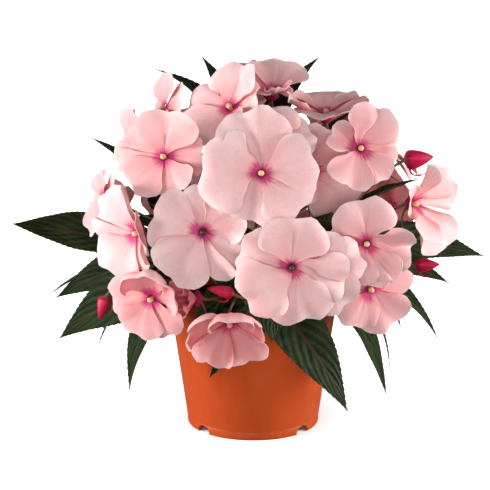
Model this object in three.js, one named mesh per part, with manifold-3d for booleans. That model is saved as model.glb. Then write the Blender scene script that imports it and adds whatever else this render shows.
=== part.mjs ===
// A potted New Guinea impatiens: a round bedding plant with pale pink flowers over
// dark pointed leaves, in a thin-walled terracotta-coloured pot with a notched foot.
// Millimetres, +Z up, origin at the middle of the pot's foot, the photographed side towards -Y.
import * as THREE from "three";
import { mergeVertices } from "three/addons/utils/BufferGeometryUtils.js";
import Module from "manifold-3d";

const wasm = await Module();
wasm.setup();

// Pot
const POT_HEIGHT = 94;
const POT_TOP_RADIUS = 59;
const POT_FOOT_RADIUS = 45;
const POT_WALL = 1.4;
const POT_SIDES = 32;
const RIM_HEIGHT = 9;
const RIM_STEP = 1.2;
const FOOT_HEIGHT = 6;
const FOOT_STEP = 0.6;
const FLOOR_LIFT = 3.5;
const NOTCH_TURN = 48;
const NOTCH_WIDTH = 11;
const NOTCH_HEIGHT = 5.5;
const DRAIN_RADIUS = 4;
const DRAIN_RING = 24;

// Soil
const SOIL_TOP = 83;
const SOIL_GAP = 0.3;
const SOIL_RELIEF = 1.4;
const SOIL_SIDES = 16;
const ROOT_DEPTH = 12;

// Shoots, leaves and flower stalks
const SHOOT_RADIUS = 3;
const STALK_RADIUS = 1.2;
const LEAF_THICKNESS = 0.8;
const PETIOLE_SHARE = 0.14;
const PETIOLE_WIDTH = 2.6;
const LEAF_FOLD = 0.24;
const LEAF_WAVE = 0.05;
const TOOTH_DEPTH = 0.09;

// Flowers: petal turns, half spreads and edge heights of the upper, left,
// lower left, lower right and right petal
const PETAL_THICKNESS = 0.9;
const PETAL_TURNS = [90, 162, 234, 306, 18];
const PETAL_SPREADS = [62, 44, 48, 48, 44];
const EDGE_LIFTS = [[1, 1], [-1, -1], [1, 1], [-1, 1], [-1, -1]];
const EDGE_LIFT = 2.3;
const CLAW_RADIUS = 2.7;
const RIM_PLACES = [-1, -0.78, -0.36, 0.36, 0.78, 1];
const HUB_DEPTH = 6;
const HUB_RADIUS = 4;
const COLUMN_HEIGHT = 4.6;
const SEAT_GAP = 0.3;

const rad = THREE.MathUtils.degToRad;
const vec = (x, y, z) => new THREE.Vector3(x, y, z);
const UP = vec(0, 0, 1);

// Repeatable variation from -1 to 1 for item i, trait j
const vary = (i, j) => Math.sin(12.9898 * i + 78.233 * j);

// Unit vector towards turn degrees right of the front and rise degrees above level
function heading(turn, rise) {
  const a = rad(turn);
  const e = rad(rise);
  return vec(Math.sin(a) * Math.cos(e), -Math.cos(a) * Math.cos(e), Math.sin(e));
}

// Shoots: turn from the front, radius at the soil, radius at the tip, height of the tip
const SHOOTS = [
  { name: "shoot_centre", turn: 160, root: 3, lean: 6, top: 168 },
  { name: "shoot_front", turn: 0, root: 20, lean: 48, top: 134 },
  { name: "shoot_front_right", turn: 55, root: 20, lean: 52, top: 138 },
  { name: "shoot_right", turn: 105, root: 20, lean: 54, top: 136 },
  { name: "shoot_back_right", turn: 150, root: 20, lean: 52, top: 138 },
  { name: "shoot_back_left", turn: -150, root: 20, lean: 52, top: 138 },
  { name: "shoot_left", turn: -105, root: 20, lean: 54, top: 136 },
  { name: "shoot_front_left", turn: -52, root: 20, lean: 52, top: 138 },
];

// Flowers: [shoot, throat x, y, z, turn, rise, roll, petal length, cup]
const BLOOMS = [
  ["shoot_centre", -15, -30, 224, -24, 40, 0, 33, 0.1],
  ["shoot_front_left", -57, -56, 197, -20, 18, 0, 31, 0.06],
  ["shoot_front", 5, -86, 193, 0, 20, 0, 37, 0.04],
  ["shoot_front", -32, -82, 154, 2, 10, 0, 34, 0.05],
  ["shoot_front", 24, -104, 137, 4, 4, 0, 36, 0.03],
  ["shoot_right", 69, -48, 201, 8, 16, 0, 29, 0.08],
  ["shoot_front_right", 72, -80, 146, 4, 6, 0, 30, 0.06],
  ["shoot_right", 105, -34, 161, 50, 6, 0, 31, 0.5],
  ["shoot_front_left", -65, -82, 110, -20, -8, 0, 29, 0.1],
  ["shoot_front", -15, -101, 100, 4, -32, 0, 27, 0.34],
  ["shoot_front_left", -75, -62, 148, -32, 4, 0, 35, 0.14],
  ["shoot_centre", 48, -8, 215, 10, 84, 0, 28, 0.34],
  ["shoot_centre", 12, 12, 226, 14, 70, -30, 29, 0.3],
  ["shoot_front_right", 76, -62, 111, 16, -6, 0, 31, 0.06],
  ["shoot_front_right", 41, -94, 132, 2, 2, 0, 28, 0.06],
  ["shoot_centre", 14, -54, 207, 8, 36, 0, 26, 0.08],
  ["shoot_front_right", 38, -36, 184, 4, 8, 0, 31, 0.06],
  ["shoot_left", -59, 5, 217, -70, 20, 10, 26, 0.14],
  ["shoot_left", -79, -6, 197, -66, 8, 0, 25, 0.12],
  ["shoot_left", -100, -6, 158, -68, 12, 18, 28, 0.12],
  ["shoot_front", -38, -78, 109, -60, 6, 0, 13, 0.9],
  ["shoot_centre", -4, 34, 228, -10, 50, 0, 18, 0.14],
  ["shoot_right", 92, 18, 186, 96, 38, 0, 29, 0.1],
  ["shoot_back_right", 62, 60, 190, 140, 40, 0, 30, 0.1],
  ["shoot_back_left", -14, 69, 199, -170, 42, 20, 32, 0.08],
  ["shoot_back_left", -64, 50, 187, -134, 38, 0, 28, 0.1],
  ["shoot_right", 97, 56, 134, 118, 4, 20, 30, 0.1],
  ["shoot_back_right", 65, 91, 152, 148, 14, 0, 30, 0.08],
  ["shoot_back_right", 17, 94, 157, 174, 18, 30, 32, 0.06],
  ["shoot_back_left", -55, 88, 143, -148, 10, 10, 31, 0.08],
  ["shoot_left", -98, 50, 128, -112, 4, 0, 31, 0.1],
  ["shoot_back_right", 52, 106, 102, 154, -10, 0, 27, 0.1],
  ["shoot_back_left", -20, 108, 108, -170, -14, 20, 28, 0.1],
];

// Flowers whose petals stand out in the view: [turn, reach] of the upper, left,
// lower left, lower right and right petal against the even five
const PETAL_HABITS = {
  0: [[-8, 1], [18, 1.06], [-6, 1], [0, 0.45], [0, 0.4]],
  1: [[-2, 1.03], [10, 1.08], [-6, 0.97], [-6, 0.86], [-10, 0.88]],
  2: [[18, 1.12], [28, 1.1], [20, 0.9], [12, 1], [0, 1]],
  3: [[-20, 0.92], [-4, 1.06], [0, 1.12], [-6, 1.06], [-8, 0.76]],
  4: [[-5, 0.95], [0, 0.98], [-18, 1.08], [-20, 1.1], [-30, 1.06]],
  5: [[-22, 1.05], [-12, 0.8], [11, 0.98], [-6, 0.92], [-18, 0.92]],
  6: [[5, 1.04], [24, 0.84], [16, 0.9], [-14, 0.95], [-26, 1.08]],
  7: [[-24, 0.92], [0, 0.7], [10, 0.84], [-8, 1.15], [4, 1]],
  8: [[8, 0.78], [22, 1.06], [10, 1.02], [-14, 1], [0, 0.72]],
  9: [[0, 0.7], [6, 1.08], [0, 1], [-8, 1.05], [0, 0.8]],
  10: [[12, 1], [0, 1.06], [0, 1], [0, 0.6], [0, 0.6]],
  12: [[0, 1.12], [0, 0.85], [0, 0.7], [0, 0.6], [0, 0.5]],
  13: [[0, 0.8], [0, 0.8], [12, 0.95], [-6, 1.06], [4, 1]],
  14: [[0, 1], [0, 0.4], [0, 0.45], [0, 1.1], [0, 1.1]],
  16: [[-20, 1], [0, 0.7], [0, 0.8], [10, 1.2], [0, 0.8]],
  19: [[0, 0.65], [0, 1.15], [0, 1], [0, 0.8], [0, 0.8]],
};

// Buds: [shoot, x, y, z of the bud's middle, turn, rise, length, thickness]
const BUDS = [
  ["shoot_right", 110, -10, 186, 92, 6, 20, 13.5],
  ["shoot_right", 117, -14, 114, 80, 4, 17, 10],
  ["shoot_front_left", -98, -60, 97, -50, -70, 16, 9],
  ["shoot_front", -21, -92, 118, -100, 10, 18, 8],
  ["shoot_back_right", 18, 114, 118, 172, 10, 16, 9],
  ["shoot_back_left", -84, 84, 118, -140, -10, 16, 9],
];

// Leaves that show: [shoot, place along the shoot, tip x, y, z, width, lift, roll]
const OUTER_LEAVES = [
  ["shoot_left", 0.9, -161, -14, 142, 32, -12, -44],
  ["shoot_left", 0.7, -132, -22, 93, 28, 8, -50],
  ["shoot_front_left", 0.65, -128, -46, 72, 38, 12, -50],
  ["shoot_front_left", 0.5, -81, -64, 43, 28, 20, 0],
  ["shoot_front", 0.5, -28, -91, 60, 32, 22, -40],
  ["shoot_front", 0.5, 61, -80, 34, 33, 22, 40],
  ["shoot_front_right", 0.85, 88, -52, 36, 28, 5, 0],
  ["shoot_front_right", 0.45, 92, -22, 46, 20, 20, 0],
  ["shoot_right", 0.55, 126, 0, 58, 26, 16, 10],
  ["shoot_right", 0.7, 135, 22, 91, 26, 6, 30],
  ["shoot_right", 0.9, 158, 20, 111, 32, 2, 36],
  ["shoot_centre", 0.95, 45, 42, 245, 24, 12, 0],
  ["shoot_centre", 1, 68, 32, 210, 22, 0, 0],
  ["shoot_centre", 0.9, -35, 38, 246, 26, 6, 0],
  ["shoot_centre", 0.9, -67, 50, 235, 24, 16, 0],
  ["shoot_left", 0.97, -111, 40, 189, 22, 6, 0],
  ["shoot_back_right", 0.65, 122, 84, 86, 30, 10, 0],
  ["shoot_back_right", 0.85, 88, 98, 50, 32, 2, 0],
  ["shoot_back_right", 0.85, 24, 116, 50, 30, 2, 0],
  ["shoot_back_left", 0.85, -54, 110, 50, 32, 2, 0],
  ["shoot_back_left", 0.65, -104, 94, 84, 30, 10, 0],
  ["shoot_left", 0.55, -142, 46, 76, 30, 12, 0],
  ["shoot_front", 0.62, -37, -81, 68, 26, 14, 0],
  ["shoot_front", 0.85, 12, -92, 84, 34, 6, 0],
  ["shoot_right", 1, 110, -6, 171, 26, 2, 0],
  ["shoot_left", 0.45, -106, 4, 52, 30, 16, 0],
  ["shoot_right", 0.5, 104, 46, 52, 30, 16, 0],
];

// Leaves within the dome, the same three on every outer shoot and five on the middle one:
// [place along the shoot, turn from the shoot's own, radius and height of the tip, width, lift]
const INNER_LEAVES = [
  [1, -12, 74, 160, 32, -2],
  [0.88, 13, 88, 136, 28, 4],
  [0.76, -12, 88, 108, 28, 8],
];
const MIDDLE_LEAVES = [
  [0.95, -160, 46, 184, 26, 4],
  [0.95, 124, 46, 188, 26, 4],
  [0.9, -66, 60, 186, 26, 4],
  [0.9, -8, 54, 190, 26, 4],
  [0.95, 52, 54, 188, 26, 4],
];

// One mesh's geometry as a solid, and back
function solidOf(geometry) {
  const g = geometry.index ? geometry.toNonIndexed() : geometry.clone();
  const bare = new THREE.BufferGeometry().setAttribute("position", g.getAttribute("position"));
  const merged = mergeVertices(bare, 1e-4);
  const mesh = new wasm.Mesh({
    numProp: 3,
    vertProperties: merged.attributes.position.array,
    triVerts: new Uint32Array(merged.index.array),
  });
  return new wasm.Manifold(mesh);
}

function geometryOf(solid) {
  const m = solid.getMesh();
  const stride = m.numProp;
  const xyz = new Float32Array(m.numVert * 3);
  for (let i = 0; i < m.numVert; i++) {
    xyz.set(m.vertProperties.subarray(i * stride, i * stride + 3), i * 3);
  }
  const g = new THREE.BufferGeometry();
  g.setAttribute("position", new THREE.BufferAttribute(xyz, 3));
  g.setIndex(new THREE.BufferAttribute(m.triVerts, 1));
  g.computeVertexNormals();
  return g;
}

const joined = (solids) => solids.reduce((all, one) => all.add(one));

// A closed blade from rows of points, thickened evenly along one direction.
// A row may be a single point, and rows may differ in count: both faces are
// filled the same way, stepping along whichever row lags behind.
function bladeSolid(rows, direction, thickness) {
  const half = direction.clone().multiplyScalar(thickness / 2);
  const points = [];
  const index = [];
  const start = rows.map((row) => {
    const at = points.length;
    for (const p of row) points.push(p.clone().add(half), p.clone().sub(half));
    return at;
  });
  const top = (r, c) => start[r] + 2 * c;
  const face = (a, b, c) => index.push(a, b, c, c + 1, b + 1, a + 1);
  const wall = (a, b) => index.push(a, b, b + 1, a, b + 1, a + 1);
  for (let r = 0; r + 1 < rows.length; r++) {
    const here = rows[r].length - 1;
    const next = rows[r + 1].length - 1;
    let i = 0;
    let j = 0;
    while (i < here || j < next) {
      const stepNext = i === here || (j < next && (j + 0.5) / next <= (i + 0.5) / here);
      if (stepNext) face(top(r, i), top(r + 1, j), top(r + 1, ++j));
      else face(top(r, i), top(r + 1, j), top(r, ++i));
    }
    wall(top(r + 1, 0), top(r, 0));
    wall(top(r, here), top(r + 1, next));
  }
  const last = rows.length - 1;
  for (let c = 0; c + 1 < rows[0].length; c++) wall(top(0, c), top(0, c + 1));
  for (let c = 0; c + 1 < rows[last].length; c++) wall(top(last, c + 1), top(last, c));
  const g = new THREE.BufferGeometry();
  g.setAttribute("position", new THREE.Float32BufferAttribute(points.flatMap((p) => p.toArray()), 3));
  g.setIndex(index);
  return outward(g);
}

// A solid whose faces look outwards, whichever way the surface was wound
function outward(geometry) {
  const solid = solidOf(geometry);
  if (solid.volume() > 0) return solid;
  const g = geometry.toNonIndexed();
  const xyz = g.getAttribute("position");
  const order = [];
  for (let i = 0; i < xyz.count; i += 3) order.push(i, i + 2, i + 1);
  g.setIndex(order);
  return solidOf(g);
}

// A rod of few sides along a curve
function rodSolid(curve, radius, sides, steps) {
  const shape = new THREE.Shape();
  for (let i = 0; i < sides; i++) {
    const a = (i / sides) * 2 * Math.PI;
    const method = i ? "lineTo" : "moveTo";
    shape[method](radius * Math.cos(a), radius * Math.sin(a));
  }
  shape.closePath();
  return solidOf(new THREE.ExtrudeGeometry(shape, { extrudePath: curve, steps, curveSegments: 1 }));
}

// A turned solid about +Z from [radius, height] points
function turnedSolid(profile, sides) {
  const points = profile.map(([r, z]) => new THREE.Vector2(r, z));
  return outward(new THREE.LatheGeometry(points, sides).rotateX(Math.PI / 2));
}

// The pot's outer wall, straight from foot to rim
function wallRadius(z) {
  return POT_FOOT_RADIUS - FOOT_STEP + ((POT_TOP_RADIUS - POT_FOOT_RADIUS) * z) / POT_HEIGHT;
}

function potSolid() {
  const rimFoot = POT_HEIGHT - RIM_HEIGHT;
  const floorTop = FLOOR_LIFT + POT_WALL;
  const footInner = POT_FOOT_RADIUS - 2.4;
  const rimRadius = wallRadius(POT_HEIGHT) + RIM_STEP;
  let pot = turnedSolid(
    [
      [0, FLOOR_LIFT],
      [footInner - 1, FLOOR_LIFT],
      [footInner, 0],
      [POT_FOOT_RADIUS - 0.5, 0],
      [POT_FOOT_RADIUS, 1],
      [POT_FOOT_RADIUS, FOOT_HEIGHT - 0.5],
      [wallRadius(FOOT_HEIGHT), FOOT_HEIGHT],
      [wallRadius(rimFoot), rimFoot],
      [wallRadius(rimFoot) + RIM_STEP, rimFoot + 0.5],
      [rimRadius, POT_HEIGHT],
      [rimRadius - POT_WALL, POT_HEIGHT],
      [wallRadius(rimFoot) - POT_WALL, rimFoot - 2],
      [wallRadius(floorTop) - POT_WALL, floorTop],
      [0, floorTop],
    ],
    POT_SIDES,
  );
  for (const degrees of [NOTCH_TURN, 180 - NOTCH_TURN, 180 + NOTCH_TURN, -NOTCH_TURN]) {
    const turn = rad(degrees);
    const notch = new THREE.CylinderGeometry(NOTCH_WIDTH / 2, NOTCH_WIDTH / 2, 12, 8);
    notch.scale(1, 1, (2 * NOTCH_HEIGHT) / NOTCH_WIDTH);
    notch.translate(0, POT_FOOT_RADIUS, 0);
    notch.rotateZ(turn);
    const drain = new THREE.CylinderGeometry(DRAIN_RADIUS, DRAIN_RADIUS, 12, 8);
    drain.rotateX(Math.PI / 2);
    drain.translate(0, DRAIN_RING, FLOOR_LIFT);
    drain.rotateZ(turn);
    pot = pot.subtract(solidOf(notch)).subtract(solidOf(drain));
  }
  return pot;
}

function soilSolid() {
  const inner = (z) => wallRadius(z) - POT_WALL - 2 * SOIL_GAP;
  const low = FLOOR_LIFT + POT_WALL + SOIL_GAP;
  const rings = 3;
  const profile = [[0, low], [inner(low), low], [inner(SOIL_TOP), SOIL_TOP]];
  for (let i = rings; i >= 0; i--) profile.push([((inner(SOIL_TOP) - 3) * i) / rings, SOIL_TOP + 1.5]);
  const points = profile.map(([r, z]) => new THREE.Vector2(r, z));
  const g = new THREE.LatheGeometry(points, SOIL_SIDES).rotateX(Math.PI / 2);
  const xyz = g.getAttribute("position");
  for (let i = 0; i < xyz.count; i++) {
    if (xyz.getZ(i) < SOIL_TOP + 1) continue;
    const lump = Math.sin(0.31 * xyz.getX(i)) * Math.cos(0.27 * xyz.getY(i) + 1);
    xyz.setZ(i, xyz.getZ(i) + SOIL_RELIEF * lump);
  }
  let soil = outward(g);
  for (const shoot of SHOOTS) {
    const out = heading(shoot.turn, 0).multiplyScalar(shoot.root);
    const radius = SHOOT_RADIUS + 2 * SOIL_GAP;
    const depth = ROOT_DEPTH + 14;
    const hole = new THREE.CylinderGeometry(radius, radius, depth, 6);
    hole.rotateX(Math.PI / 2);
    hole.translate(out.x, out.y, SOIL_TOP - ROOT_DEPTH - SOIL_GAP + depth / 2);
    soil = soil.subtract(solidOf(hole));
  }
  return soil;
}

// A shoot's line above the soil, up and outwards
function shootCurve(shoot) {
  const out = heading(shoot.turn, 0);
  const at = (r, z) => out.clone().multiplyScalar(r).setZ(z);
  return new THREE.CubicBezierCurve3(
    at(shoot.root, SOIL_TOP + 4),
    at(shoot.root, SOIL_TOP + 18),
    at(shoot.lean * 0.72 + shoot.root * 0.28, shoot.top - 26),
    at(shoot.lean, shoot.top),
  );
}

// The straight foot of a shoot, standing in its hole
function rootSolid(shoot) {
  const out = heading(shoot.turn, 0).multiplyScalar(shoot.root);
  const length = ROOT_DEPTH + 5;
  const root = new THREE.CylinderGeometry(SHOOT_RADIUS, SHOOT_RADIUS, length, 5);
  root.rotateX(Math.PI / 2);
  root.translate(out.x, out.y, SOIL_TOP - ROOT_DEPTH + length / 2);
  return solidOf(root);
}

// Half the width of a leaf at a share u of its length
function leafHalfWidth(u, width) {
  const stalk = PETIOLE_WIDTH / 2;
  if (u <= PETIOLE_SHARE) return stalk;
  const t = (u - PETIOLE_SHARE) / (1 - PETIOLE_SHARE);
  const blade = (Math.pow(t, 0.75) * Math.pow(1 - t, 1.2)) / 0.274;
  return Math.max((width / 2) * blade, stalk * (1 - t));
}

// A pointed, folded, toothed leaf from its base to its tip, rolled about its own
// length and arched by lift towards its upper face
function leafSolid(base, tip, width, lift, roll, seed, steps) {
  const along = tip.clone().sub(base).normalize();
  const across = along.clone().cross(UP).normalize();
  const out = across.clone().cross(along).normalize();
  across.applyAxisAngle(along, rad(roll));
  out.applyAxisAngle(along, rad(roll));
  const length = tip.distanceTo(base);
  const rows = [];
  for (let s = 0; s <= steps; s++) {
    const u = s === 0 ? 0 : PETIOLE_SHARE + ((1 - PETIOLE_SHARE) * (s - 1)) / (steps - 1);
    const arch = lift * 4 * u * (1 - u);
    const spine = base.clone().addScaledVector(along, length * u).addScaledVector(out, arch);
    if (s === steps) {
      rows.push([spine]);
      continue;
    }
    const tooth = s % 2 ? 1 - TOOTH_DEPTH : 1 + TOOTH_DEPTH;
    const w = leafHalfWidth(u, width) * (s > 1 ? tooth : 1);
    const row = [-1, 0, 1].map((v) => {
      const wave = LEAF_WAVE * w * Math.sin(9 * u + 2 * v + seed) * Math.abs(v);
      const rise = LEAF_FOLD * w * Math.abs(v) + wave;
      return spine.clone().addScaledVector(across, w * v).addScaledVector(out, rise);
    });
    rows.push(row);
  }
  return bladeSolid(rows, out, LEAF_THICKNESS);
}

// A flower's frame: z faces out of it, y is its top
function bloomFrame(x, y, z, turn, rise) {
  const face = heading(turn, rise);
  const top = UP.clone().addScaledVector(face, -UP.dot(face)).normalize();
  const side = top.clone().cross(face);
  return new THREE.Matrix4().makeBasis(side, top, face).setPosition(x, y, z);
}

// How far a petal's outline reaches, from -1 at one side to 1 at the other
function petalReach(v) {
  const rounding = 0.62 + 0.38 * Math.sqrt(1 - Math.pow(Math.abs(v), 2.6));
  return rounding - 0.09 * Math.exp(-Math.pow(v / 0.18, 2));
}

// A point of petal k: u from claw to rim, v from its right edge to its left
function petalPoint(seed, k, roll, length, cup, u, v) {
  const habit = PETAL_HABITS[seed] ?? [];
  const [swing, share] = habit[k] ?? [4 * vary(seed, k), 1 + 0.06 * vary(seed, k + 10)];
  const turn = rad(PETAL_TURNS[k] + roll + swing * Math.min(1, 2 * u));
  const reach = CLAW_RADIUS + (length * share * petalReach(v) - CLAW_RADIUS) * u;
  const a = turn + rad(PETAL_SPREADS[k]) * v * (0.55 + 0.45 * u);
  const bend = 0.06 * vary(seed, k + 20) - 0.05;
  const [right, left] = EDGE_LIFTS[k];
  const lift = EDGE_LIFT * (right + ((left - right) * (v + 1)) / 2) * Math.pow(u, 0.7);
  const wave = 0.03 * u * u * Math.sin(6 * v + 3 * vary(seed, k + 30));
  const height = lift + length * ((cup + bend * u) * u + wave);
  return vec(reach * Math.cos(a), reach * Math.sin(a), height);
}

function bloomSolid(seed, roll, length, cup) {
  const petals = PETAL_TURNS.map((_, k) => {
    const claw = petalPoint(seed, k, roll, length, cup, 0, 0);
    const middle = [-1, 1].map((v) => petalPoint(seed, k, roll, length, cup, 0.5, v));
    const rim = RIM_PLACES.map((v) => petalPoint(seed, k, roll, length, cup, 1, v));
    return bladeSolid([[claw], middle, rim], vec(0, 0, 1), PETAL_THICKNESS);
  });
  const hub = turnedSolid(
    [
      [0, -HUB_DEPTH],
      [1.6, -HUB_DEPTH],
      [HUB_RADIUS, -1.2],
      [HUB_RADIUS, 1.6],
      [0, COLUMN_HEIGHT],
    ],
    5,
  );
  return joined([...petals, hub.rotate([0, 0, roll])]);
}

function budSolid(length, thickness) {
  const half = length / 2;
  const swell = thickness / 2;
  return turnedSolid(
    [
      [0, -half],
      [0.5 * swell, -0.94 * half],
      [0.95 * swell, -0.45 * half],
      [swell, 0],
      [0.72 * swell, 0.5 * half],
      [0, half],
    ],
    8,
  );
}

// A stalk from a shoot to a flower or bud, arriving from behind and below
function stalkSolid(from, seat, face) {
  const reach = from.distanceTo(seat);
  const start = from.clone().lerp(seat, 0.3).add(vec(0, 0, -0.08 * reach));
  const under = seat.clone().addScaledVector(face, -0.3 * reach).add(vec(0, 0, -0.12 * reach));
  const curve = new THREE.CubicBezierCurve3(from, start, under, seat);
  return rodSolid(curve, STALK_RADIUS, 3, 3);
}

const LEAF_GREEN = new THREE.MeshStandardMaterial({ color: 0x34402a, roughness: 0.55 });
const PETAL_PINK = new THREE.MeshStandardMaterial({ color: 0xf8cfcf, roughness: 0.6 });
const BUD_RED = new THREE.MeshStandardMaterial({ color: 0xb01c46, roughness: 0.5 });
const POT_ORANGE = new THREE.MeshStandardMaterial({ color: 0xc8572c, roughness: 0.45 });
const SOIL_BROWN = new THREE.MeshStandardMaterial({ color: 0x3a2a20, roughness: 0.95 });

const plant = new THREE.Group();

function addNode(name, solid, material, matrix) {
  const mesh = new THREE.Mesh(geometryOf(solid), material);
  mesh.name = name;
  if (matrix) mesh.applyMatrix4(matrix);
  plant.add(mesh);
}

const numbered = (name, i) => name + "_" + String(i + 1).padStart(2, "0");

addNode("pot", potSolid(), POT_ORANGE);
addNode("soil", soilSolid(), SOIL_BROWN);

BLOOMS.forEach(([, x, y, z, turn, rise, roll, length, cup], i) => {
  const matrix = bloomFrame(x, y, z, turn, rise);
  addNode(numbered("bloom", i), bloomSolid(i, roll, length, cup), PETAL_PINK, matrix);
});

BUDS.forEach(([, x, y, z, turn, rise, length, thickness], i) => {
  addNode(numbered("bud", i), budSolid(length, thickness), BUD_RED, bloomFrame(x, y, z, turn, rise));
});

for (const shoot of SHOOTS) {
  const curve = shootCurve(shoot);
  const pieces = [rootSolid(shoot), rodSolid(curve, SHOOT_RADIUS, 5, 4)];
  OUTER_LEAVES.forEach(([owner, place, x, y, z, width, lift, roll], i) => {
    if (owner !== shoot.name) return;
    pieces.push(leafSolid(curve.getPoint(place), vec(x, y, z), width, lift, roll, i, 7));
  });
  const inner = shoot.name === "shoot_centre" ? MIDDLE_LEAVES : INNER_LEAVES;
  inner.forEach(([place, turn, radius, height, width, lift], i) => {
    const tip = heading(shoot.turn + turn, 0).multiplyScalar(radius).setZ(height);
    pieces.push(leafSolid(curve.getPoint(place), tip, width, lift, 0, i, 4));
  });
  BLOOMS.forEach(([owner, x, y, z, turn, rise], i) => {
    if (owner !== shoot.name) return;
    const face = heading(turn, rise);
    const seat = vec(x, y, z).addScaledVector(face, -HUB_DEPTH - SEAT_GAP);
    pieces.push(stalkSolid(curve.getPoint(0.8 + 0.05 * (i % 4)), seat, face));
  });
  BUDS.forEach(([owner, x, y, z, turn, rise, length]) => {
    if (owner !== shoot.name) return;
    const face = heading(turn, rise);
    const seat = vec(x, y, z).addScaledVector(face, -length / 2 - SEAT_GAP);
    pieces.push(stalkSolid(curve.getPoint(0.85), seat, face));
  });
  addNode(shoot.name, joined(pieces), LEAF_GREEN);
}

export default plant;
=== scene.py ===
import math

import bmesh
import bpy
import numpy as np
from mathutils import Matrix, Vector


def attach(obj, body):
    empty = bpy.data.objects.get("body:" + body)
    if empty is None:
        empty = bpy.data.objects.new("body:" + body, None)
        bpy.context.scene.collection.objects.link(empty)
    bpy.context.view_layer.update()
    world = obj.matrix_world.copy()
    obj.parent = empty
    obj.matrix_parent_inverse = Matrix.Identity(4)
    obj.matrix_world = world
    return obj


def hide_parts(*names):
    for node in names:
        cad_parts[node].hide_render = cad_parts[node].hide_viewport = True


# A potted New Guinea impatiens in bloom. Lengths are in millimetres until a piece's
# mesh is made, which takes them to metres. +Z is up and -Y is the photographed side.

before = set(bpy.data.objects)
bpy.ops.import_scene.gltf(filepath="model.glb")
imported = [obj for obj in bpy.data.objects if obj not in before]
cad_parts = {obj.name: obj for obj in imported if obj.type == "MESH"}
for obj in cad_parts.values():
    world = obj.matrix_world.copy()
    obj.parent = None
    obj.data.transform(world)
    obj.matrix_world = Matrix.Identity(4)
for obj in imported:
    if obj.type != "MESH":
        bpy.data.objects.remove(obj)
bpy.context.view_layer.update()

# Camera and colour
camera_data = bpy.data.cameras.new("camera")
camera_data.lens = 153.6
camera_data.sensor_width = 36
camera = bpy.data.objects.new("camera", camera_data)
camera.location = (0, -1.366, 0.486)
camera.rotation_euler = (math.radians(75.15), 0, math.radians(0.233))
bpy.context.collection.objects.link(camera)
bpy.context.scene.camera = camera
bpy.context.scene.view_settings.view_transform = "Standard"

# Pot and soil sizes
POT_HEIGHT = 94
POT_TOP_RADIUS = 59
POT_FOOT_RADIUS = 45
POT_WALL = 1.4
RIM_HEIGHT = 9
RIM_STEP = 1.2
FOOT_HEIGHT = 6
FOOT_STEP = 0.6
FLOOR_LIFT = 3.5
NOTCH_TURN = 48
NOTCH_WIDTH = 11
NOTCH_HEIGHT = 5.5
DRAIN_RADIUS = 4
DRAIN_RING = 24
SOIL_TOP = 83

# Leaf and petal forms
PETIOLE_SHARE = 0.14
PETIOLE_WIDTH = 2.6
LEAF_FOLD = 0.24
LEAF_WAVE = 0.05
PETAL_TURNS = [90, 162, 234, 306, 18]
PETAL_SPREADS = [62, 44, 48, 48, 44]
EDGE_LIFTS = [(1, 1), (-1, -1), (1, 1), (-1, 1), (-1, -1)]
EDGE_LIFT = 2.3
CLAW_RADIUS = 2.7
HUB_DEPTH = 6
PETAL_ROWS = 18
PETAL_COLUMNS = 27
PETAL_HALF_THICKNESS = 0.22
LEAF_TEETH = 26
INNER_TEETH = 14
LEAF_COLUMNS = 13
INNER_COLUMNS = 9

# Pollen column, and the hollow cup at the throat, as radius and height
COLUMN = [(0, -2.5), (1.1, -2.4), (1.5, 0.4), (1.9, 2.2), (1.7, 3.4), (0.9, 4.2), (0, 4.4)]
THROAT_CUP = [
    (0, -2.6), (1.1, -2.4), (2.3, -0.7), (3.2, -0.8), (5.4, -2.3), (4.4, -3.6), (2.2, -5.6), (0, -6),
]

# Flowers whose pollen column is spent, and outer leaves with a red midrib
SPENT_FLOWERS = (3, 4)
RED_LEAVES = (0, 2, 5)

# Shoots: turn from the front, radius at the soil, radius at the tip, height of the tip
SHOOTS = {
    "shoot_centre": (160, 3, 6, 168),
    "shoot_front": (0, 20, 48, 134),
    "shoot_front_right": (55, 20, 52, 138),
    "shoot_right": (105, 20, 54, 136),
    "shoot_back_right": (150, 20, 52, 138),
    "shoot_back_left": (-150, 20, 52, 138),
    "shoot_left": (-105, 20, 54, 136),
    "shoot_front_left": (-52, 20, 52, 138),
}

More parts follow.
